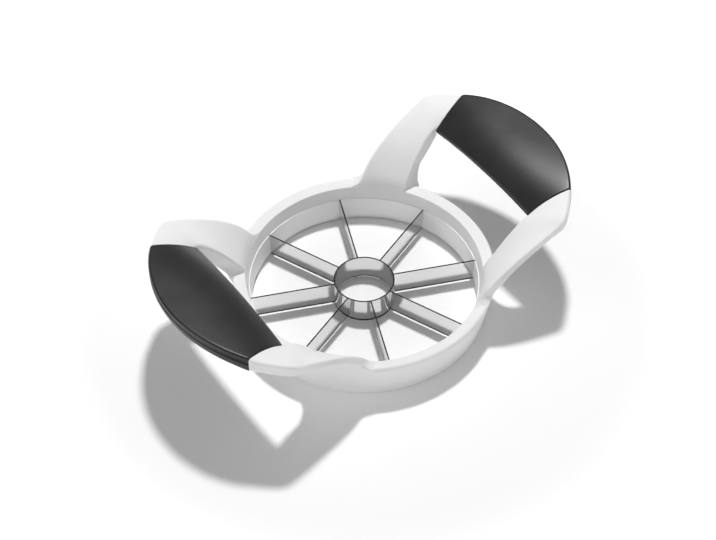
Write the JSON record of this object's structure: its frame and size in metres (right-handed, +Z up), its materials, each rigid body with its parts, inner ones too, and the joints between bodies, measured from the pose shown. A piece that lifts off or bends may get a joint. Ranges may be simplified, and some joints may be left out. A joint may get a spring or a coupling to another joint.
{
  "type": "apple corer and divider",
  "caption": "Hand press that cores an apple and divides it into wedges: a ring with radial blades, a centre tube cutter and two raised soft-grip handles.",
  "frame": {"origin": "centre of the ring, on the plane that it stands on", "axes": "+Z up along the ring's axis, handles along X, Y across"},
  "size_m": [0.1858, 0.1116, 0.0527],
  "materials": {
    "white_plastic": "satin white moulding",
    "white_holder": "satin white moulding",
    "soft_grip": "soft-touch charcoal",
    "polished_steel": "polished stainless",
    "blade_steel": "ground stainless"
  },
  "bodies": {
    "root": {"frame": "white_plastic", "blade_holder": "white_holder", "corer": "polished_steel", "right_grip": "soft_grip", "left_grip": "soft_grip", "blade_1": "blade_steel", "blade_2": "blade_steel", "blade_3": "blade_steel", "blade_4": "blade_steel", "blade_5": "blade_steel", "blade_6": "blade_steel", "blade_7": "blade_steel", "blade_8": "blade_steel"}
  },
  "joints": []
}
